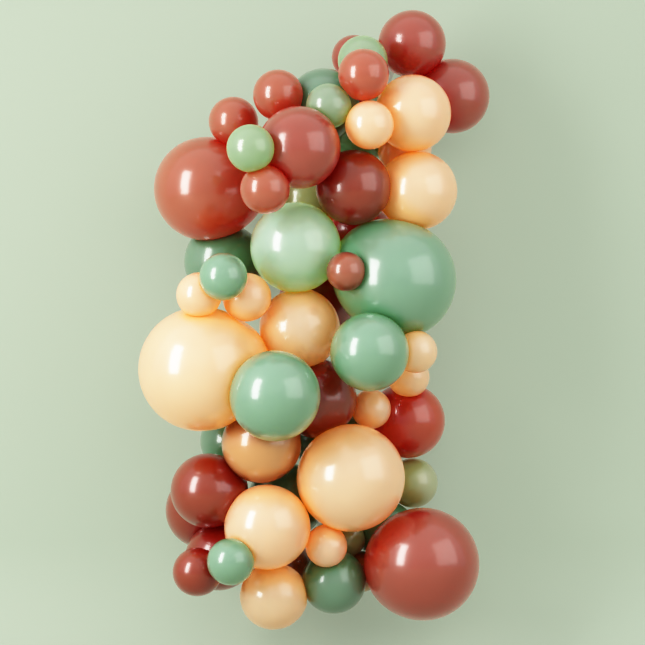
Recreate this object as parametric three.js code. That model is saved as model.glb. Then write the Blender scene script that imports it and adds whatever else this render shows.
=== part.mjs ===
// Balloon garland: air-filled latex balloons on a clear perforated decorating strip.
// Millimetres, +Z up. The front of the garland faces -Y and its back +Y.
// The origin is on the back face of the strip's top tab, where the garland is hung.
import * as THREE from 'three';

// Decorating strip
const STRIP_WIDTH = 26;
const STRIP_THICKNESS = 1;
const STRIP_STEPS = 28;
const HOLE_RADIUS = 6.5;
const HOLE_SIDES = 8;
const HOLE_PITCH = 60;
const END_MARGIN = 30; // from each end point of the course to the nearest hole
const TAB = 16; // how far the strip runs on past each end point

// How the balloons sit
const STANDOFF = 12; // from the strip's front face to the backs of the balloons nearest to it
const SQUEEZE = 0.87; // centre distance of two pressed balloons over the sum of their radii
const SHOW = 0.8; // how fully a balloon in front stands clear of the bulge behind its rim
const GAP = 0.3; // between pieces that touch

// Balloon sizes: sides of the widest ring, rings of the body, and length of the knot end
const LARGE = { over: 240, name: 'large', sides: 16, rings: 8, stretch: 1.22 };
const MEDIUM = { over: 150, name: 'medium', sides: 12, rings: 6, stretch: 1.1 };
const SMALL = { over: 0, name: 'small', sides: 9, rings: 4, stretch: 1.06 };
const SIZES = [LARGE, MEDIUM, SMALL];
const NECK_SIDES = 5;
const MIN_SIDES = 5;
const SHOULDER_ANGLE = THREE.MathUtils.degToRad(150); // from the crown to where the neck begins to draw in

const COLOURS = {
  terracotta: 0xa4554a,
  brick: 0x743a33,
  mint: 0x93c4a0,
  sage: 0x6da283,
  peach: 0xf2bd85,
};

// The strip's course down the back of the garland, x and z from the hanging point
const STRIP_COURSE = [
  [0, 0],
  [-65, -150],
  [-130, -300],
  [-190, -430],
  [-205, -570],
  [-205, -720],
  [-215, -910],
  [-232, -1070],
  [-232, -1240],
  [-205, -1360],
  [-185, -1480],
];

// The balloons in the order in which they are put on, from the strip outwards:
// colour, diameter, x and z of the centre, and how it is held.
// A tied balloon has its neck through a hole of the strip. The others have theirs tucked
// between the balloons behind, or where a direction is given, along that direction.
const TIED = 'tied';
const TUCKED = 'tucked';
const BALLOONS = [
  ['peach', 130, -310, -1420, TUCKED],
  ['terracotta', 120, -130, -40, TUCKED],
  ['sage', 135, 30, -1195, TUCKED],
  ['sage', 160, -260, -430, TIED],
  ['sage', 160, -45, -1320, TUCKED],
  ['sage', 170, -460, -1080, TUCKED],
  ['sage', 205, -315, -1240, TIED],
  ['brick', 200, 15, -1025, TUCKED],
  ['terracotta', 200, 135, -150, TUCKED],
  ['sage', 205, -485, -595, TUCKED],
  ['sage', 215, -110, -220, TIED],
  ['brick', 205, -235, -715, TIED],
  ['brick', 205, -535, -1265, TUCKED],
  ['brick', 205, -120, -535, TIED],
  ['peach', 110, -110, -1430, TUCKED],
  ['sage', 195, -195, -1075, TIED],
  ['sage', 100, -150, -1340, TUCKED],
  ['terracotta', 180, 25, -15, TUCKED],
  ['peach', 110, 15, -905, TUCKED],
  ['peach', 140, 5, -300, TUCKED],
  ['peach', 105, -85, -990, TUCKED],
  ['terracotta', 275, -525, -405, [0.95, 0.25, 0.05]],
  ['sage', 170, -185, -1445, TUCKED],
  ['brick', 175, -490, -1380, TUCKED],
  ['sage', 190, -215, -190, TUCKED],
  ['peach', 175, -345, -1480, TUCKED],
  ['brick', 210, -230, -960, TUCKED],
  ['terracotta', 295, 50, -1395, TUCKED],
  ['terracotta', 130, -450, -230, [0.6, 0.35, -0.7]],
  ['mint', 130, -110, -75, TUCKED],
  ['peach', 205, 35, -415, TUCKED],
  ['brick', 195, -515, -1200, [1, 0.45, 0]],
  ['peach', 110, -205, -1345, [0.1, 0.45, 0.9]],
  ['peach', 210, -275, -775, TUCKED],
  ['peach', 200, 20, -215, TUCKED],
  ['terracotta', 130, -330, -170, [0.1, 0.45, -0.9]],
  ['sage', 305, -20, -650, [-0.9, 0.25, 0.33]],
  ['peach', 205, -375, -1075, TUCKED],
  ['peach', 220, -360, -1290, TUCKED],
  ['brick', 125, -540, -1405, TUCKED],
  ['peach', 280, -140, -1165, TUCKED],
  ['brick', 195, -135, -410, TUCKED],
  ['mint', 115, -200, -205, TUCKED],
  ['peach', 125, -95, -255, TUCKED],
  ['terracotta', 130, -110, -125, [0, 0.45, -0.9]],
  ['peach', 110, 25, -835, TUCKED],
  ['peach', 320, -530, -880, [0.9, 0.4, 0]],
  ['terracotta', 210, -275, -315, TUCKED],
  ['sage', 120, -450, -1370, TUCKED],
  ['peach', 125, -410, -695, TUCKED],
  ['mint', 235, -285, -565, TUCKED],
  ['sage', 200, -95, -835, TUCKED],
  ['peach', 115, -530, -690, TUCKED],
  ['brick', 100, -155, -630, TUCKED],
  ['terracotta', 125, -360, -425, TUCKED],
  ['sage', 120, -465, -645, TUCKED],
  ['sage', 230, -335, -945, TUCKED],
  ['mint', 120, -395, -325, TUCKED],
];

const STRIP_FRONT = -STRIP_THICKNESS;
const BACK_PLANE = STRIP_FRONT - STANDOFF;

// ---- Decorating strip ----

const stripCourse = new THREE.SplineCurve(STRIP_COURSE.map(([x, z]) => new THREE.Vector2(x, z)));

function stripPoint(length) {
  return stripCourse.getPointAt(length / stripCourse.getLength());
}

function holeCentres() {
  const count = Math.floor((stripCourse.getLength() - 2 * END_MARGIN) / HOLE_PITCH) + 1;
  return Array.from({ length: count }, (_, i) => stripPoint(END_MARGIN + i * HOLE_PITCH));
}

function stripEdge(side) {
  const points = [];
  for (let i = 0; i <= STRIP_STEPS; i += 1) {
    const u = i / STRIP_STEPS;
    const along = stripCourse.getTangentAt(u);
    const across = new THREE.Vector2(-along.y, along.x).multiplyScalar((side * STRIP_WIDTH) / 2);
    const point = stripCourse.getPointAt(u).add(across);
    if (i === 0) {
      point.addScaledVector(along, -TAB);
    }
    if (i === STRIP_STEPS) {
      point.addScaledVector(along, TAB);
    }
    points.push(point);
  }
  return points;
}

function stripGeometry() {
  const outline = new THREE.Shape([...stripEdge(1), ...stripEdge(-1).reverse()]);
  for (const centre of holeCentres()) {
    const hole = new THREE.Path();
    for (let i = 0; i < HOLE_SIDES; i += 1) {
      const angle = (2 * Math.PI * i) / HOLE_SIDES;
      const x = centre.x + HOLE_RADIUS * Math.cos(angle);
      const z = centre.y + HOLE_RADIUS * Math.sin(angle);
      if (i === 0) {
        hole.moveTo(x, z);
      } else {
        hole.lineTo(x, z);
      }
    }
    hole.closePath();
    outline.holes.push(hole);
  }
  const geometry = new THREE.ExtrudeGeometry(outline, { depth: STRIP_THICKNESS, bevelEnabled: false });
  // The outline is drawn in x and z; its thickness runs from the back face at y = 0 forwards.
  return geometry.rotateX(Math.PI / 2);
}

// ---- Where each balloon rests ----

// How far in front of a placed balloon's centre the new one has to stop: where they press
// together, or where its rim clears the bulge behind, whichever is further.
function restingStep(radius, other, across) {
  const pressed = (SQUEEZE * (radius + other.radius)) ** 2 - across ** 2;
  const bulge = other.radius ** 2 - (across - radius) ** 2;
  const overlaps = across < radius + other.radius;
  const contact = Math.sqrt(Math.max(pressed, 0));
  const clearance = overlaps ? SHOW * Math.sqrt(Math.max(bulge, 0)) : 0;
  return Math.max(contact, clearance);
}

function restingDepth(radius, x, z, placed) {
  let y = BACK_PLANE - radius;
  for (const other of placed) {
    const step = restingStep(radius, other, Math.hypot(x - other.centre.x, z - other.centre.z));
    if (step > 0) {
      y = Math.min(y, other.centre.y - step);
    }
  }
  return y;
}

function placeBalloons() {
  const placed = [];
  const counts = {};
  for (const [colour, diameter, x, z, held] of BALLOONS) {
    const radius = diameter / 2;
    const size = SIZES.find((kind) => diameter > kind.over);
    const kind = `${size.name}_${colour}`;
    counts[kind] = (counts[kind] ?? 0) + 1;
    const centre = new THREE.Vector3(x, restingDepth(radius, x, z, placed), z);
    placed.push({ name: `${kind}_${counts[kind]}`, colour, size, radius, centre, held });
  }
  return placed;
}

// ---- Neck, knot and tail ----

// Distances from the centre along the axis, and radii, of the knotted end.
function stemOf(radius, neckStart, knotGap) {
  const knotRadius = 3 + radius / 28;
  const neckRadius = 0.55 * knotRadius;
  const knot = neckStart + knotGap + knotRadius;
  const waist = knot + knotRadius;
  const tip = waist + 9 + radius / 20;
  return { neckRadius, knotRadius, lipRadius: 1.15 * knotRadius, neckStart, knot, waist, tip };
}

function looseStem(balloon) {
  return stemOf(balloon.radius, (balloon.size.stretch + 0.1) * balloon.radius, 3);
}

// The neck of a tied balloon ends at the hole, and its knot lies just behind the strip.
function tiedStem(balloon, reach, slope) {
  const before = 5 / slope;
  const knotRadius = 3 + balloon.radius / 28;
  const behind = (knotRadius + 1.5) / slope - knotRadius;
  return stemOf(balloon.radius, reach - before, before + behind);
}

// Points with radii that stand for the shoulder and the stem when others have to stay clear.
function stemBeads(balloon, axis, stem) {
  const beads = [];
  const add = (distance, radius) => {
    beads.push({ point: balloon.centre.clone().addScaledVector(axis, distance), radius });
  };
  for (let d = stem.neckStart; d < stem.knot; d += stem.neckRadius) {
    add(d, stem.neckRadius);
  }
  add(stem.knot, stem.knotRadius);
  for (let d = stem.waist; d < stem.tip; d += stem.neckRadius) {
    add(d, stem.knotRadius);
  }
  add(stem.tip, stem.lipRadius);
  return beads;
}

function shoulderBeads(balloon, axis, stem) {
  const base = balloon.radius;
  return [0.1, 0.5, 0.85].map((share) => ({
    point: balloon.centre.clone().addScaledVector(axis, base + share * (stem.neckStart - base)),
    radius: stem.neckRadius + 0.35 * base * (1 - share) ** 1.5,
  }));
}

function gapBetween(bead, other) {
  return bead.point.distanceTo(other.point) - bead.radius - other.radius;
}

// ---- Space between neighbours ----

// The plane on which two pressed balloons meet, seen from the first: its direction and distance.
function meetingPlane(balloon, other) {
  const normal = other.centre.clone().sub(balloon.centre);
  const apart = normal.length();
  const distance = (apart ** 2 + balloon.radius ** 2 - other.radius ** 2) / (2 * apart);
  return { normal: normal.divideScalar(apart), distance: distance - GAP / 2 };
}

function cellOf(balloon, balloons) {
  const planes = balloons.filter((other) => other !== balloon).map((other) => meetingPlane(balloon, other));
  const strip = { normal: new THREE.Vector3(0, 1, 0), distance: STRIP_FRONT - GAP - balloon.centre.y };
  return [...planes, strip];
}

// How far a bead of this balloon's stem stays clear of another balloon's body: it is clear
// outside the other's sphere, and also on its own side of the plane where the two meet.
function clearOfBody(balloon, bead, other) {
  const outside = bead.point.distanceTo(other.centre) - 1.03 * other.radius - bead.radius;
  const plane = meetingPlane(balloon, other);
  const height = bead.point.clone().sub(balloon.centre).dot(plane.normal);
  return Math.max(outside, plane.distance - height - bead.radius);
}

function stemClearance(balloon, axis, balloons, taken) {
  const stem = looseStem(balloon);
  const beads = stemBeads(balloon, axis, stem);
  const others = balloons.filter((other) => other !== balloon);
  const bodies = beads.map((bead) => Math.min(...others.map((other) => clearOfBody(balloon, bead, other))));
  const stems = [...beads, ...shoulderBeads(balloon, axis, stem)].map((bead) =>
    Math.min(...taken.map((other) => gapBetween(bead, other))),
  );
  return Math.min(...bodies, ...stems);
}

// ---- Where each neck points ----

const DIRECTIONS = 500;
const STEM_CLEARANCE = 3;
const CORE_DEPTH = -70;

function evenDirections(count) {
  const goldenAngle = Math.PI * (3 - Math.sqrt(5));
  return Array.from({ length: count }, (_, i) => {
    const z = 1 - (2 * i + 1) / count;
    const r = Math.sqrt(1 - z * z);
    return new THREE.Vector3(r * Math.cos(i * goldenAngle), r * Math.sin(i * goldenAngle), z);
  });
}

function stripBeads() {
  const length = stripCourse.getLength();
  const steps = Math.ceil(length / (STRIP_WIDTH / 2));
  return Array.from({ length: steps + 1 }, (_, i) => {
    const point = stripPoint((i * length) / steps);
    return { point: new THREE.Vector3(point.x, 0, point.y), radius: STRIP_WIDTH / 2 };
  });
}

function towardsCore(balloon) {
  const { x, y, z } = balloon.centre;
  const nearest = stripCourse.getSpacedPoints(60).sort((a, b) => Math.abs(a.y - z) - Math.abs(b.y - z))[0];
  return new THREE.Vector3(nearest.x - x, CORE_DEPTH - y, nearest.y - z).normalize();
}

function nearestHole(balloon, holes) {
  const flat = new THREE.Vector2(balloon.centre.x, balloon.centre.z);
  holes.sort((a, b) => a.distanceTo(flat) - b.distanceTo(flat));
  return holes.shift();
}

function aimTied(balloon, holes) {
  const hole = nearestHole(balloon, holes);
  const way = new THREE.Vector3(hole.x, STRIP_FRONT / 2, hole.y).sub(balloon.centre);
  const reach = way.length();
  balloon.axis = way.divideScalar(reach);
  balloon.stem = tiedStem(balloon, reach, balloon.axis.y);
}

// A tucked neck takes the direction nearest to its wish that has room for the knot and tail.
function aimTucked(balloon, balloons, taken) {
  const wish = Array.isArray(balloon.held)
    ? new THREE.Vector3(...balloon.held).normalize()
    : towardsCore(balloon);
  const ways = evenDirections(DIRECTIONS).sort((a, b) => b.dot(wish) - a.dot(wish));
  balloon.axis = ways.find((way) => stemClearance(balloon, way, balloons, taken) > STEM_CLEARANCE);
  balloon.stem = looseStem(balloon);
}

function aimBalloons(balloons) {
  const holes = holeCentres();
  const taken = stripBeads();
  for (const balloon of balloons.filter((each) => each.held === TIED)) {
    aimTied(balloon, holes);
    taken.push(...stemBeads(balloon, balloon.axis, balloon.stem));
    taken.push(...shoulderBeads(balloon, balloon.axis, balloon.stem));
  }
  for (const balloon of balloons.filter((each) => each.held !== TIED)) {
    aimTucked(balloon, balloons, taken);
    taken.push(...stemBeads(balloon, balloon.axis, balloon.stem));
    taken.push(...shoulderBeads(balloon, balloon.axis, balloon.stem));
  }
}

// ---- Balloon surface ----

// Rings of the body from the crown to the shoulder, then of the neck, knot and rolled lip.
function balloonRings({ radius, size, stem }) {
  const rings = [{ along: -radius, radius: 0, sides: 1, body: true }];
  for (let i = 1; i <= size.rings; i += 1) {
    const angle = (SHOULDER_ANGLE * i) / size.rings;
    const wide = Math.sin(angle);
    const length = angle > Math.PI / 2 ? size.stretch : 1;
    const sides = Math.max(MIN_SIDES, Math.round(size.sides * wide));
    rings.push({ along: -length * radius * Math.cos(angle), radius: radius * wide, sides, body: true });
  }
  const shoulder = rings[rings.length - 1];
  const drawn = THREE.MathUtils.lerp(shoulder.along, stem.neckStart, 0.55);
  rings.push({ along: drawn, radius: 0.42 * shoulder.radius, sides: NECK_SIDES, body: true });
  rings.push({ along: stem.neckStart, radius: stem.neckRadius, sides: NECK_SIDES });
  rings.push({ along: stem.knot - stem.knotRadius, radius: stem.neckRadius, sides: NECK_SIDES });
  rings.push({ along: stem.knot, radius: stem.knotRadius, sides: NECK_SIDES });
  rings.push({ along: stem.waist, radius: stem.neckRadius, sides: NECK_SIDES });
  rings.push({ along: stem.tip, radius: stem.lipRadius, sides: NECK_SIDES });
  rings.push({ along: stem.tip, radius: 0, sides: 1 });
  return rings;
}

// A point of the body is drawn in along its own line from the centre until it is inside
// every plane where the balloon presses on a neighbour.
function pressIn(point, planes) {
  let share = 1;
  for (const { normal, distance } of planes) {
    const height = point.dot(normal);
    if (height > distance) {
      share = Math.min(share, distance / height);
    }
  }
  return point.multiplyScalar(share);
}

// Triangles between two rings, whatever their numbers of sides; a ring of one side is a point.
function stitch(lower, upper, index) {
  let i = 0;
  let j = 0;
  const lowerSteps = lower.sides > 1 ? lower.sides : 0;
  const upperSteps = upper.sides > 1 ? upper.sides : 0;
  while (i < lowerSteps || j < upperSteps) {
    const a = lower.first + (i % lower.sides);
    const b = upper.first + (j % upper.sides);
    const stepLower = j >= upperSteps || (i < lowerSteps && (i + 1) / lowerSteps <= (j + 1) / upperSteps);
    if (stepLower) {
      i += 1;
      index.push(a, lower.first + (i % lower.sides), b);
    } else {
      j += 1;
      index.push(a, upper.first + (j % upper.sides), b);
    }
  }
}

function balloonGeometry(balloon, balloons) {
  const turn = new THREE.Quaternion().setFromUnitVectors(new THREE.Vector3(0, 0, 1), balloon.axis);
  const planes = cellOf(balloon, balloons);
  const rings = balloonRings(balloon);
  const positions = [];
  for (const ring of rings) {
    ring.first = positions.length / 3;
    for (let i = 0; i < ring.sides; i += 1) {
      const angle = (2 * Math.PI * i) / ring.sides;
      const point = new THREE.Vector3(Math.cos(angle), Math.sin(angle), 0).multiplyScalar(ring.radius);
      point.z = ring.along;
      point.applyQuaternion(turn);
      positions.push(...(ring.body ? pressIn(point, planes) : point).toArray());
    }
  }
  const index = [];
  for (let i = 0; i + 1 < rings.length; i += 1) {
    stitch(rings[i], rings[i + 1], index);
  }
  const geometry = new THREE.BufferGeometry();
  geometry.setAttribute('position', new THREE.Float32BufferAttribute(positions, 3));
  geometry.setIndex(index);
  geometry.computeVertexNormals();
  return geometry;
}

// ---- The garland ----

const garland = new THREE.Group();

const strip = new THREE.Mesh(
  stripGeometry(),
  new THREE.MeshStandardMaterial({ color: 0xe8ece8, roughness: 0.25, metalness: 0 }),
);
strip.name = 'decorating_strip';
garland.add(strip);

const balloons = placeBalloons();
aimBalloons(balloons);
for (const balloon of balloons) {
  const latex = new THREE.MeshStandardMaterial({ color: COLOURS[balloon.colour], roughness: 0.2, metalness: 0 });
  const mesh = new THREE.Mesh(balloonGeometry(balloon, balloons), latex);
  mesh.name = balloon.name;
  mesh.position.copy(balloon.centre);
  garland.add(mesh);
}

export default garland;
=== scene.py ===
"""Balloon garland: smooth latex balloons and a clear strip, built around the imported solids."""
import math

import bpy
import numpy as np
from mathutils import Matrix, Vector


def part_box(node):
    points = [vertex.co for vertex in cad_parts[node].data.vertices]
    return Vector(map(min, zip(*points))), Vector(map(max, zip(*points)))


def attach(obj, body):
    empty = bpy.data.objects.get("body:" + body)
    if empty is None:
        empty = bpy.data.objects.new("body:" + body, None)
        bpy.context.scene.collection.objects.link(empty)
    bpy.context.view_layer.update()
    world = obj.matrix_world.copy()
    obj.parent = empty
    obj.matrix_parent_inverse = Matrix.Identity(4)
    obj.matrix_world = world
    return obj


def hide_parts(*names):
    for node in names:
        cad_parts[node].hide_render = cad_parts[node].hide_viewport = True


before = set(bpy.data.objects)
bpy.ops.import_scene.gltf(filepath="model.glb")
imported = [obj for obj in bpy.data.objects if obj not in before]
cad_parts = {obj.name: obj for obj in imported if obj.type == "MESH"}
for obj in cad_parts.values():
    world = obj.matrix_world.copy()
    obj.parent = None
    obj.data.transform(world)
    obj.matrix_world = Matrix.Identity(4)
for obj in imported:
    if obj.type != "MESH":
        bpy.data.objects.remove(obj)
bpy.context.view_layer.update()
BODY = "root"
STRIP_NODE = "decorating_strip"
MM = 0.001
GAP = 0.3 * MM  # between pieces that touch

scene = bpy.context.scene


def smoothstep(low, high, value):
    t = min(max((value - low) / (high - low), 0), 1)
    return t * t * (3 - 2 * t)


def mix(a, b, t):
    return a + (b - a) * t


# ---- Camera ----

CAMERA_AT = (-0.215, -5.813, -0.760)
LENS = 118.07
SENSOR = 36


def make_camera():
    """Level, looking along +Y."""
    data = bpy.data.cameras.new("camera")
    data.sensor_width = SENSOR
    data.lens = LENS
    camera = bpy.data.objects.new("camera", data)
    camera.location = CAMERA_AT
    camera.rotation_euler = (math.pi / 2, 0, 0)
    scene.collection.objects.link(camera)
    scene.camera = camera


make_camera()


# ---- Reading a balloon from its solid ----

KNOT_BASE = 3 * MM  # a knot's radius is this and a share of the balloon's
KNOT_SHARE = 1 / 28
NECK_TO_KNOT = 0.55
LIP_TO_KNOT = 1.15
TAIL_BASE = 9 * MM  # a tail's length, in the same way
TAIL_SHARE = 1 / 20
NECK_DRAW = 0.1  # how far past the stretched body a loose neck begins, in radii
NECK_LENGTH = 3 * MM
LIP_VERTICES = 6  # of a solid: the corners of its lip and their middle
VOTE_TOLERANCE = 0.15 * MM
NECK_TOLERANCE = 0.1 * MM
BEFORE_STRIP = 5 * MM  # a tied neck, ahead of the strip's hole and behind it
BEHIND_STRIP = 1.5 * MM

# Each size: how far the body is stretched towards the neck, and how fine its mesh is, in points
# round it, rings of the body and rings of the shoulder
FINENESS = {
    "large": dict(stretch=1.22, around=112, body=64, shoulder=16),
    "medium": dict(stretch=1.1, around=88, body=50, shoulder=14),
    "small": dict(stretch=1.06, around=64, body=38, shoulder=12),
}


def surface_of(node):
    """The corners of a solid, and the middle of its surface."""
    mesh = node.data
    corners = {tuple(round(v, 6) for v in vertex.co) for vertex in mesh.vertices}
    area = sum(face.area for face in mesh.polygons)
    middle = sum((face.center * face.area for face in mesh.polygons), Vector()) / area
    return np.array(sorted(corners)), np.array(middle)


def centre_distance(points, tip, axis, radius):
    """How far the body's centre is from the tip, back along the axis: most corners of the
    body lie on its sphere, so each corner votes for where that puts the centre."""
    offsets = tip - points
    along = offsets @ axis
    aside = np.linalg.norm(offsets - along[:, None] * axis, axis=1)
    inside = aside < radius
    reach = np.sqrt(radius**2 - aside[inside] ** 2)
    votes = np.concatenate([along[inside] - reach, along[inside] + reach])
    votes = votes[votes > radius]
    support = (np.abs(votes[:, None] - votes[None, :]) < VOTE_TOLERANCE).sum(axis=1)
    best = votes[np.argmax(support)]
    return votes[np.abs(votes - best) < VOTE_TOLERANCE].mean()


def read_balloon(name, node):
    """A balloon's place, axis and measures, from the end of its tail inwards. All lengths along
    the axis are from the centre. A tied balloon has a longer neck, which ends at the strip."""
    size, colour, _ = name.split("_")
    points, middle = surface_of(node)
    order = np.argsort(-np.linalg.norm(points - middle, axis=1))
    lip = points[order[:LIP_VERTICES]]
    tip = lip.mean(axis=0)
    _, _, turned = np.linalg.svd(lip - tip)
    axis = turned[2] * np.sign(turned[2] @ (tip - middle))
    lip_radius = np.sort(np.linalg.norm(lip - tip, axis=1))[1:].mean()
    knot_radius = lip_radius / LIP_TO_KNOT
    radius = (knot_radius - KNOT_BASE) / KNOT_SHARE
    reach = centre_distance(points, tip, axis, radius)
    waist = reach - TAIL_BASE - TAIL_SHARE * radius
    knot = waist - knot_radius
    fineness = FINENESS[size]
    neck = (fineness["stretch"] + NECK_DRAW) * radius
    tied = abs(knot - knot_radius - neck - NECK_LENGTH) > NECK_TOLERANCE
    if tied:
        neck = knot - (BEFORE_STRIP + knot_radius + BEHIND_STRIP) / axis[1]
    return dict(
        name=name, colour=colour, radius=radius, axis=axis, centre=tip - reach * axis,
        neck=neck, knot=knot, waist=waist, tip=reach, knot_radius=knot_radius,
        neck_radius=NECK_TO_KNOT * knot_radius, lip_radius=lip_radius, **fineness,
    )


balloons = [read_balloon(n, o) for n, o in sorted(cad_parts.items()) if n != STRIP_NODE]
strip_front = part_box(STRIP_NODE)[0].y


# ---- Balloon meshes ----

SHOULDER = math.radians(150)  # from the crown to where the neck begins to draw in
BODY_LEAN = 0.75  # how far the shoulder's curve keeps to the body, as a share of its run
NECK_LEAN = 0.4  # and to the neck
PRESSED_TO = 0.6  # of the shoulder: the part that neighbours press as they press the body
PLEATED_FROM = 0.35
THIN_TO = 0.3  # of the body: the part with the thinnest skin
SHOULDER_THICKNESS = 0.25  # from 0 at the crown to 1 at the knot
SOFTNESS = 1.6 * MM  # how gently a pressed face rounds over into the free surface
FACING = 0.02  # the least cosine at which a meeting plane still limits a direction
STRETCHED_TOWARDS = 0.3  # the cosine from which a neck end faces a neighbour
NO_LIMIT = 10.0
# For the mask of painted shade between neighbours
MOST_HIDDEN = 0.98  # by one neighbour
CUT_FALL = 1.5  # above 1, a neighbour that the horizon cuts counts for less
PLEATS = 9
PLEAT_DEPTH = 0.13
KNOT_TWIST = 0.09
KNOT_TURN = 2.4
NECK_STEPS = 3
KNOT_RINGS = 9
TAIL_RINGS = 8
TAIL_FLARE = 1.4
TAIL_PLEATS = 0.4  # of the neck's
LIP_RINGS = 7
LIP_ROLL = 0.17  # the roll's radius, of the lip's
LIP_FROM, LIP_TO = -70, 215  # degrees round the roll
LIP_OUTSIDE = 1.3  # in rolls, from the lip's edge in to the tail's end
LIP_INSIDE = 2.2  # and in to the start of the hollow
LIP_OVAL = 0.14
INSIDE_RINGS = 4
INSIDE_DEPTH = 0.25  # of the tail, from the knot
INSIDE_END = 0.4  # of the neck's radius


def body_rings(b):
    """From the crown to the shoulder: (along, radius, pressed, pleated, thick)."""
    rows = []
    for i in range(1, b["body"] + 1):
        angle = SHOULDER * i / b["body"]
        stretch = b["stretch"] if angle > math.pi / 2 else 1
        along = -stretch * b["radius"] * math.cos(angle)
        thick = SHOULDER_THICKNESS * smoothstep(THIN_TO, 1, angle / SHOULDER)
        rows.append((along, b["radius"] * math.sin(angle), 1, 0, thick))
    return rows


def shoulder_rings(b):
    """A smooth draw from the body into the neck."""
    sine, cosine = math.sin(SHOULDER), math.cos(SHOULDER)
    start = Vector((-b["stretch"] * b["radius"] * cosine, b["radius"] * sine))
    end = Vector((b["neck"], b["neck_radius"]))
    run = end.x - start.x
    towards = Vector((b["stretch"] * sine, cosine)).normalized()
    handles = (
        start, start + BODY_LEAN * run * towards, end - Vector((NECK_LEAN * run, 0)), end,
    )
    rows = []
    for i in range(1, b["shoulder"] + 1):
        t = i / b["shoulder"]
        weights = (1 - t) ** 3, 3 * t * (1 - t) ** 2, 3 * t * t * (1 - t), t**3
        point = sum((w * p for w, p in zip(weights, handles)), Vector((0, 0)))
        pressed = 1 - smoothstep(PRESSED_TO, 1, t)
        pleated = smoothstep(PLEATED_FROM, 1, t)
        rows.append((point.x, point.y, pressed, pleated, mix(SHOULDER_THICKNESS, 1, t)))
    return rows


def stem_rings(b):
    """Neck, knot, tail, rolled lip and the hollow inside the tail."""
    neck, knot, lip = b["neck_radius"], b["knot_radius"], b["lip_radius"]
    rows = []
    neck_end = b["knot"] - knot
    for i in range(1, NECK_STEPS):
        rows.append((mix(b["neck"], neck_end, i / NECK_STEPS), neck, 0, 1, 1))
    for i in range(KNOT_RINGS + 1):
        t = -math.cos(math.pi * i / KNOT_RINGS)
        bulge = math.sqrt(max(1 - t * t, 0))
        rows.append((b["knot"] + t * knot, neck + (knot - neck) * bulge, 0, 1 - bulge, 1))
    roll = LIP_ROLL * lip
    tail_end = b["tip"] - 2 * roll
    for i in range(1, TAIL_RINGS + 1):
        t = i / TAIL_RINGS
        radius = mix(neck, lip - LIP_OUTSIDE * roll, t**TAIL_FLARE)
        rows.append((mix(b["waist"], tail_end, t), radius, 0, mix(1, TAIL_PLEATS, t), 1))
    for i in range(LIP_RINGS + 1):
        angle = math.radians(mix(LIP_FROM, LIP_TO, i / LIP_RINGS))
        along = b["tip"] - roll + roll * math.sin(angle)
        rows.append((along, lip - roll + roll * math.cos(angle), 0, TAIL_PLEATS, 1))
    for i in range(1, INSIDE_RINGS + 1):
        t = i / INSIDE_RINGS
        along = mix(tail_end, mix(b["waist"], b["tip"], INSIDE_DEPTH), t)
        rows.append((along, mix(lip - LIP_INSIDE * roll, INSIDE_END * neck, t), 0, TAIL_PLEATS, 1))
    return rows


def plane_limits(directions, normal, distance):
    """How far each direction runs before it reaches a plane."""
    facing = directions @ normal
    return np.where(facing > FACING, distance / np.maximum(facing, FACING), NO_LIMIT)


def ball_limits(directions, offset, radius):
    """How far each direction runs before it enters a ball."""
    towards = directions @ offset
    inside = towards**2 - (offset @ offset - radius**2)
    hit = (inside > 0) & (towards > 0)
    return np.where(hit, towards - np.sqrt(np.maximum(inside, 0)), NO_LIMIT)


def limits_of(b, directions):
    """How far the skin may reach in each direction: to the strip, to the plane where it meets
    a neighbour that presses on it, or where a neck end only nestles up to one, to its skin."""
    limits = [plane_limits(directions, np.array((0, 1, 0)), strip_front - GAP - b["centre"][1])]
    for other in balloons:
        offset = other["centre"] - b["centre"]
        apart = np.linalg.norm(offset)
        if apart == 0 or apart > 2 * b["radius"] + other["radius"]:
            continue
        normal = offset / apart
        presses = apart < b["radius"] + other["radius"]
        if presses or -normal @ other["axis"] > STRETCHED_TOWARDS:
            meeting = (apart**2 + b["radius"] ** 2 - other["radius"] ** 2) / (2 * apart)
            limits.append(plane_limits(directions, normal, meeting - GAP / 2))
        else:
            limits.append(ball_limits(directions, offset, other["radius"] + GAP))
    return np.stack(limits, axis=1)


def press(points, b, weights):
    """Draw the points in towards the centre until they lie within the limits."""
    offsets = points - b["centre"]
    reach = np.linalg.norm(offsets, axis=1)
    excess = (reach[:, None] - limits_of(b, offsets / reach[:, None])) / SOFTNESS
    base = np.maximum(excess.max(axis=1), 0)
    total = np.exp(-base) + np.exp(excess - base[:, None]).sum(axis=1)
    drawn = reach - SOFTNESS * (base + np.log(total))
    scale = 1 + (drawn / reach - 1) * weights
    return b["centre"] + offsets * scale[:, None]


# Painted shade: the share this gives darkens and deepens the skin's colour in the latex below
def painted_shade_mask(points, normals, b):
    """How much of the open air in front of each point its neighbours take away, 0 to 1. A ball
    that stands clear of the point's horizon counts whole, and one that the horizon cuts, in part."""
    open_share = np.ones(len(points))
    for other in balloons:
        offset = other["centre"] - points
        distance = np.linalg.norm(offset, axis=1)
        facing = (offset * normals).sum(axis=1) / distance
        height = np.maximum(distance / other["radius"], 1)
        whole = np.maximum(facing, 0) / height**2
        cut = np.clip(0.5 * (facing * height + 1) / height**2, 0, 1) ** CUT_FALL
        hidden = np.where(1 - (height * facing) ** 2 > 0, cut, whole)
        if other is not b:
            open_share *= 1 - np.clip(hidden, 0, MOST_HIDDEN)
    return 1 - open_share


def frame_of(axis):
    """Two directions square to the axis and to each other."""
    side = np.cross(axis, (0, 0, 1) if abs(axis[2]) < 0.9 else (1, 0, 0))
    side = side / np.linalg.norm(side)
    return side, np.cross(axis, side)


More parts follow.
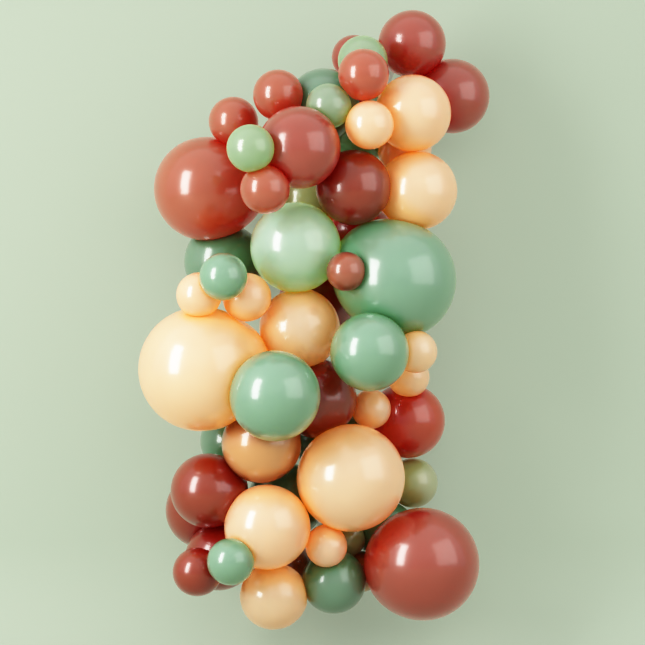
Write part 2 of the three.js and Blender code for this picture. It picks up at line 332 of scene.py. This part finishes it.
def ring_points(b, row, count, seed):
    """One ring of points, gathered into pleats near the knot and twisted at it."""
    along, radius, _, pleated, _ = row
    side, up = frame_of(b["axis"])
    turn = 2 * np.pi * np.arange(count) / count
    wave = 1 + PLEAT_DEPTH * pleated * np.cos(PLEATS * turn + seed)
    twist = (along - b["knot"]) / b["knot_radius"]
    if abs(twist) < 1:
        wave = wave + KNOT_TWIST * np.cos(2 * turn + KNOT_TURN * twist + seed) * (1 - twist**2)
    flat = 1 + LIP_OVAL * smoothstep(b["waist"], b["tip"], along) * np.cos(2 * turn + seed)
    distance = (radius * wave * flat)[:, None]
    around = np.cos(turn)[:, None] * side + np.sin(turn)[:, None] * up
    return b["centre"] + along * b["axis"] + distance * around


def bridge(faces, a, count_a, c, count_c):
    """Join ring a to ring c, which has as many points, or half as many."""
    if count_a == count_c:
        for i in range(count_a):
            j = (i + 1) % count_a
            faces.append((a + i, a + j, c + j, c + i))
        return
    for i in range(count_c):
        j = (i + 1) % count_c
        faces.append((a + 2 * i, a + 2 * i + 1, c + i))
        faces.append((a + 2 * i + 1, a + (2 * i + 2) % count_a, c + j, c + i))


def make_mesh(name, points, faces):
    mesh = bpy.data.meshes.new(name)
    mesh.from_pydata([tuple(p) for p in points], [], faces)
    mesh.polygons.foreach_set("use_smooth", [True] * len(mesh.polygons))
    mesh.update()
    return mesh


def add_object(name, data):
    made = bpy.data.objects.new(name, data)
    scene.collection.objects.link(made)
    return made


def add_layer(mesh, name, values):
    mesh.attributes.new(name, "FLOAT", "POINT").data.foreach_set("value", values)


def balloon_mesh(b, seed):
    """One closed skin, from the crown to the bottom of the hollow in its tail."""
    whole, half = b["around"], b["around"] // 2
    rows = [(row, whole) for row in body_rings(b) + shoulder_rings(b)]
    rows += [(row, half) for row in stem_rings(b)]
    crown = b["centre"] - b["radius"] * b["axis"]
    points, weights, thick = [crown[None]], [np.ones(1)], [np.zeros(1)]
    faces, starts, total = [], [], 1
    for row, count in rows:
        points.append(ring_points(b, row, count, seed))
        weights.append(np.full(count, row[2]))
        thick.append(np.full(count, row[4]))
        starts.append((total, count))
        total += count
    last = rows[-1][0][0]
    points.append((b["centre"] + last * b["axis"])[None])
    weights.append(np.zeros(1))
    thick.append(np.ones(1))
    first, count = starts[0]
    faces += [(0, first + (i + 1) % count, first + i) for i in range(count)]
    for (a, count_a), (c, count_c) in zip(starts, starts[1:]):
        bridge(faces, a, count_a, c, count_c)
    end, count = starts[-1]
    faces += [(end + i, end + (i + 1) % count, total) for i in range(count)]
    placed = press(np.concatenate(points), b, np.concatenate(weights))
    mesh = make_mesh(b["name"], placed, faces)
    normals = np.zeros(len(placed) * 3)
    mesh.vertices.foreach_get("normal", normals)
    add_layer(mesh, "thick", np.concatenate(thick))
    # The mask of painted shade between neighbours, 0 to 1 at each point
    add_layer(mesh, "painted_shade_mask", painted_shade_mask(placed, normals.reshape(-1, 3), b))
    return mesh


# ---- Latex ----

GLOSS = {"Roughness": 0.30, "IOR": 1.5, "Coat Weight": 1.0, "Coat Roughness": 0.15}
MOTTLE = 0.04  # how far the skin strays from its colour
MOTTLE_RANGE = 0.3, 0.7
MOTTLE_SCALE = 9
MOTTLE_DETAIL = 2
KNOT_TINT = (0.62, 0.5, 0.46)  # over the skin's colour, where it is thickest
# Where the painted shade between neighbours starts and where it is whole, on its mask
PAINTED_SHADE_FROM, PAINTED_SHADE_TO = 0.3, 0.75

# Each shade of latex: its skin in the open, the light it lets through, and how much of its
# brightness it keeps in the painted shade between neighbours
SHADES = {
    "terracotta": ((0.22, 0.07, 0.05), (0.34, 0.01, 0.01), 1.0),
    "rust": ((0.24, 0.10, 0.06), (0.40, 0.04, 0.02), 1.0),
    "brick": ((0.22, 0.04, 0.02), (0.22, 0.01, 0.01), 0.9),
    # Painted light: a lighter copy of brick
    "brick_lit": ((0.33, 0.06, 0.03), (0.33, 0.01, 0.01), 0.9),
    "copper": ((0.27, 0.10, 0.06), (0.26, 0.01, 0.01), 0.3),
    "mint": ((0.26, 0.35, 0.34), (0.37, 0.40, 0.12), 1.1),
    # Painted shade: a darker copy of mint
    "mint_shaded": ((0.19, 0.23, 0.20), (0.28, 0.37, 0.13), 1.1),
    "sage": ((0.18, 0.28, 0.22), (0.14, 0.20, 0.02), 0.85),
    # Painted shade: a darker copy of sage
    "sage_shaded": ((0.15, 0.24, 0.17), (0.09, 0.08, 0.01), 0.8),
    "olive": ((0.32, 0.36, 0.24), (0.25, 0.16, 0.01), 0.9),
    "peach": ((0.51, 0.42, 0.31), (0.46, 0.27, 0.02), 1.2),
    # Painted shade: a darker copy of peach, with darker light through it
    "peach_shaded": ((0.58, 0.28, 0.12), (0.07, 0.03, 0.01), 0.45),
}
# The balloons that aren't of the shade that their name says. The lighter brick copy is painted light
# on balloons that catch more light, and the darker mint, sage and peach copies are painted shade on
# balloons that others shade.
SHADE_OF = {
    "rust": ["large_terracotta_1"] + [f"small_terracotta_{i}" for i in (2, 3, 4, 5)],
    "brick_lit": ["medium_brick_1", "medium_brick_4"],
    "copper": ["small_brick_2"],
    "mint_shaded": ["small_mint_1", "small_mint_2", "small_mint_3"],
    "sage_shaded": [f"medium_sage_{i}" for i in (2, 3, 4, 5, 7, 8, 9)],
    "olive": ["small_sage_1", "small_sage_2", "medium_sage_1"],
    "peach_shaded": ["medium_peach_5", "small_peach_1", "small_peach_2"],
}


def painted_shade_colour(skin, painted_shade_kept):
    """Painted shade between neighbours: the skin's colour made darker and deeper, as light that goes
    from skin to skin takes up the colour twice.
    """
    return [painted_shade_kept * value**2 / max(skin) for value in skin]


def mottled(tree, skin):
    """The skin's colour, slightly cloudy."""
    place = tree.nodes.new("ShaderNodeTexCoord")
    cloud = tree.nodes.new("ShaderNodeTexNoise")
    cloud.inputs["Scale"].default_value = MOTTLE_SCALE
    cloud.inputs["Detail"].default_value = MOTTLE_DETAIL
    tone = tree.nodes.new("ShaderNodeValToRGB")
    for stop, position, share in zip(tone.color_ramp.elements, MOTTLE_RANGE, (1 - MOTTLE, 1 + MOTTLE)):
        stop.position = position
        stop.color = (*[value * share for value in skin], 1)
    tree.links.new(place.outputs["Object"], cloud.inputs["Vector"])
    tree.links.new(cloud.outputs["Fac"], tone.inputs["Fac"])
    return tone.outputs["Color"]


def layer(tree, name):
    """One of the values that the mesh holds at each point."""
    attribute = tree.nodes.new("ShaderNodeAttribute")
    attribute.attribute_name = name
    return attribute.outputs["Fac"]


def blended(tree, share, under, colour, blend_type="MIX"):
    mixer = tree.nodes.new("ShaderNodeMix")
    mixer.data_type = "RGBA"
    mixer.blend_type = blend_type
    mixer.inputs[7].default_value = (*colour, 1)
    tree.links.new(share, mixer.inputs["Factor"])
    tree.links.new(under, mixer.inputs[6])
    return mixer.outputs[2]


# How much of the painted shade between neighbours each point takes
def painted_shade_share(tree):
    close = tree.nodes.new("ShaderNodeMapRange")
    close.interpolation_type = "SMOOTHSTEP"
    close.inputs["From Min"].default_value = PAINTED_SHADE_FROM
    close.inputs["From Max"].default_value = PAINTED_SHADE_TO
    tree.links.new(layer(tree, "painted_shade_mask"), close.inputs["Value"])
    return close.outputs["Result"]


def latex(name, skin, through, painted_shade_kept):
    material = bpy.data.materials.new(name)
    material.use_nodes = True
    tree = material.node_tree
    shader = tree.nodes["Principled BSDF"]
    for socket, value in GLOSS.items():
        shader.inputs[socket].default_value = value
    open_air = blended(tree, layer(tree, "thick"), mottled(tree, skin), KNOT_TINT, "MULTIPLY")
    # Painted shade: darker, deeper colour where neighbours hide the open air
    colour = blended(tree, painted_shade_share(tree), open_air, painted_shade_colour(skin, painted_shade_kept))
    tree.links.new(colour, shader.inputs["Base Color"])
    inner = tree.nodes.new("ShaderNodeBsdfTranslucent")
    inner.inputs["Color"].default_value = (*through, 1)
    both = tree.nodes.new("ShaderNodeAddShader")
    tree.links.new(shader.outputs["BSDF"], both.inputs[0])
    tree.links.new(inner.outputs["BSDF"], both.inputs[1])
    tree.links.new(both.outputs["Shader"], tree.nodes["Material Output"].inputs["Surface"])
    return material


finishes = {shade: latex(f"{shade}_latex", *tones) for shade, tones in SHADES.items()}
shade_of = {name: shade for shade, names in SHADE_OF.items() for name in names}


def make_balloon(b, seed):
    piece = add_object(f"{b['name']}_skin", balloon_mesh(b, seed))
    piece.data.materials.append(finishes[shade_of.get(b["name"], b["colour"])])
    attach(piece, BODY)
    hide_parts(b["name"])


SEED_STEP = 1.7  # how far the pleats of one balloon are turned from those of the one before

for number, balloon in enumerate(balloons):
    make_balloon(balloon, number * SEED_STEP)


# ---- Decorating strip ----

HOLE_POINTS = 20
HOLE_INSET = 0.3 * MM  # of a round hole, within the corners of the solid's
STRIP_EDGE = 0.2 * MM
FLUSH = 1e-6
STRIP_TINT = (0.86, 0.9, 0.9)
STRIP_ROUGHNESS = 0.16
STRIP_ALPHA = 0.45


def boundary_loops(mesh):
    """The outline of the strip's back face and of each of its holes, as lists of points."""
    back = max(v.co.y for v in mesh.vertices)
    edges = {}
    for face in mesh.polygons:
        corners = [mesh.vertices[i].co for i in face.vertices]
        if any(back - corner.y >= FLUSH for corner in corners):
            continue
        keys = [tuple(round(value, 6) for value in corner) for corner in corners]
        for a, c in zip(keys, keys[1:] + keys[:1]):
            if (c, a) in edges:
                del edges[(c, a)]
            else:
                edges[(a, c)] = True
    following = {a: c for a, c in edges}
    loops = []
    while following:
        start, point = next(iter(following.items()))
        loop = [start]
        del following[start]
        while point != start:
            loop.append(point)
            point = following.pop(point)
        loops.append(loop)
    return sorted(loops, key=len, reverse=True)


def add_outline(data, points):
    """A closed outline, from the x and z of its points."""
    spline = data.splines.new("POLY")
    spline.points.add(len(points) - 1)
    for point, (x, z) in zip(spline.points, points):
        point.co = (x, z, 0, 1)
    spline.use_cyclic_u = True


def round_hole(hole):
    centre = np.mean(hole, axis=0)
    radius = np.linalg.norm(np.array(hole[0]) - centre) - HOLE_INSET
    turns = [2 * math.pi * i / HOLE_POINTS for i in range(HOLE_POINTS)]
    return [(centre[0] + radius * math.cos(t), centre[2] + radius * math.sin(t)) for t in turns]


def make_strip():
    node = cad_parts[STRIP_NODE]
    low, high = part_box(STRIP_NODE)
    outline, *holes = boundary_loops(node.data)
    data = bpy.data.curves.new("strip", "CURVE")
    data.dimensions = "2D"
    data.fill_mode = "BOTH"
    data.extrude = (high.y - low.y) / 2 - STRIP_EDGE
    data.bevel_depth = STRIP_EDGE
    data.bevel_resolution = 1
    add_outline(data, [(x, z) for x, _, z in outline])
    for hole in holes:
        add_outline(data, round_hole(hole))
    curve = add_object("strip_curve", data)
    shown = curve.evaluated_get(bpy.context.evaluated_depsgraph_get())
    mesh = bpy.data.meshes.new_from_object(shown)
    bpy.data.objects.remove(curve)
    for vertex in mesh.vertices:
        x, z, out = vertex.co
        vertex.co = (x, (low.y + high.y) / 2 - out, z)
    piece = add_object("clear_strip", mesh)
    piece.data.materials.append(strip_plastic())
    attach(piece, BODY)
    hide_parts(STRIP_NODE)


def strip_plastic():
    material = bpy.data.materials.new("clear_strip")
    material.use_nodes = True
    shader = material.node_tree.nodes["Principled BSDF"]
    shader.inputs["Base Color"].default_value = (*STRIP_TINT, 1)
    shader.inputs["Roughness"].default_value = STRIP_ROUGHNESS
    shader.inputs["Alpha"].default_value = STRIP_ALPHA
    return material


make_strip()


# ---- Stage ----

WALL_AT = 0.085
WALL_TOP = 3.0
FLOOR_AT = -1.72
FLOOR_FRONT = -6.0
HALF_WIDTH = 6.0
BEND = 0.35
BEND_STEPS = 12
PAPER = (0.46, 0.53, 0.425)
PAPER_GLOW = 0.5  # beside the light that falls on it, which it gives back at PAPER_SHARE
PAPER_SHARE = 0.5


def stage_material(name, colour):
    """Plain matt paper that shows only from its front."""
    material = bpy.data.materials.new(name)
    material.use_nodes = True
    nodes, links = material.node_tree.nodes, material.node_tree.links
    shader = nodes["Principled BSDF"]
    shader.inputs["Base Color"].default_value = (*[PAPER_SHARE * value for value in colour], 1)
    shader.inputs["Roughness"].default_value = 0.95
    shader.inputs["Specular IOR Level"].default_value = 0.1
    shader.inputs["Emission Color"].default_value = (*colour, 1)
    shader.inputs["Emission Strength"].default_value = PAPER_GLOW
    clear = nodes.new("ShaderNodeBsdfTransparent")
    side = nodes.new("ShaderNodeNewGeometry")
    choose = nodes.new("ShaderNodeMixShader")
    links.new(side.outputs["Backfacing"], choose.inputs["Fac"])
    links.new(shader.outputs["BSDF"], choose.inputs[1])
    links.new(clear.outputs["BSDF"], choose.inputs[2])
    links.new(choose.outputs["Shader"], nodes["Material Output"].inputs["Surface"])
    return material


def make_stage():
    """A wall and a floor in one sheet, with a soft bend between them."""
    course = [(WALL_AT, WALL_TOP), (WALL_AT, FLOOR_AT + BEND)]
    for i in range(1, BEND_STEPS + 1):
        angle = math.pi / 2 * i / BEND_STEPS
        forward, down = BEND * (1 - math.cos(angle)), BEND * (1 - math.sin(angle))
        course.append((WALL_AT - forward, FLOOR_AT + down))
    course.append((FLOOR_FRONT, FLOOR_AT))
    points, faces = [], []
    for y, z in course:
        points += [(-HALF_WIDTH, y, z), (HALF_WIDTH, y, z)]
    for i in range(len(course) - 1):
        faces.append((2 * i, 2 * i + 2, 2 * i + 3, 2 * i + 1))
    sheet = add_object("backdrop", make_mesh("backdrop", points, faces))
    sheet.data.materials.append(stage_material("paper", PAPER))


make_stage()


# ---- Light ----

GARLAND_AT = Vector((-0.22, -0.28, -0.75))

# Name, place, width and height, watts, colour, and whether it shows in the gloss
LIGHTS = [
    ("key", (-2.85, -2.65, 0.15), (1.1, 2.9), 132, (1, 0.99, 0.97), True),
    ("side", (2.7, -2.7, 0.45), (3.3, 3.4), 58, (1, 0.99, 0.97), True),
    ("fill", (0.2, -6.5, 1.6), (4.0, 3.0), 75, (1, 1, 1), False),
]
# How bright the studio is at the low and at the high end of a direction
STUDIO = {"Z": (0.34, 1.32), "Y": (0.65, 1.30)}
STUDIO_COLOUR = (0.97, 1.0, 0.97)


def area_light(name, at, size, power, colour, seen):
    data = bpy.data.lights.new(name, "AREA")
    data.shape = "RECTANGLE"
    data.size, data.size_y = size
    data.energy = power
    data.color = colour
    light = add_object(name, data)
    light.location = at
    light.rotation_euler = (GARLAND_AT - Vector(at)).to_track_quat("-Z", "Y").to_euler()
    light.visible_glossy = seen


def make_studio():
    """Soft surroundings, darker below and behind the camera."""
    world = bpy.data.worlds.new("studio")
    world.use_nodes = True
    nodes, links = world.node_tree.nodes, world.node_tree.links
    place = nodes.new("ShaderNodeTexCoord")
    split = nodes.new("ShaderNodeSeparateXYZ")
    links.new(place.outputs["Generated"], split.inputs["Vector"])
    product = nodes.new("ShaderNodeMath")
    product.operation = "MULTIPLY"
    for socket, (axis, (low, high)) in zip(product.inputs, STUDIO.items()):
        share = nodes.new("ShaderNodeMapRange")
        share.inputs["From Min"].default_value = -1
        share.inputs["To Min"].default_value = low
        share.inputs["To Max"].default_value = high
        links.new(split.outputs[axis], share.inputs["Value"])
        links.new(share.outputs["Result"], socket)
    links.new(product.outputs["Value"], nodes["Background"].inputs["Strength"])
    nodes["Background"].inputs["Color"].default_value = (*STUDIO_COLOUR, 1)
    scene.world = world


for light in LIGHTS:
    area_light(*light)
make_studio()


# ---- Exposure ----

# A camera's gentle response, from linear brightness to linear brightness
BRIGHTEST = 2.0
RESPONSE_POINTS = 12
POINT_SPACING = 1.5  # above 1, the points are closer together in the dark
BOUNCES = 8
CONTRAST = 1.33
GAIN = 1.35


def response(value):
    return math.tanh(GAIN * value**CONTRAST)


def set_exposure():
    settings = scene.view_settings
    settings.view_transform = "Standard"
    settings.use_curve_mapping = True
    mapping = settings.curve_mapping
    mapping.white_level = (BRIGHTEST, BRIGHTEST, BRIGHTEST)
    curve = mapping.curves[3]
    for i in range(1, RESPONSE_POINTS):
        share = (i / RESPONSE_POINTS) ** POINT_SPACING
        curve.points.new(share, response(share * BRIGHTEST))
    mapping.update()
    scene.cycles.diffuse_bounces = BOUNCES


set_exposure()
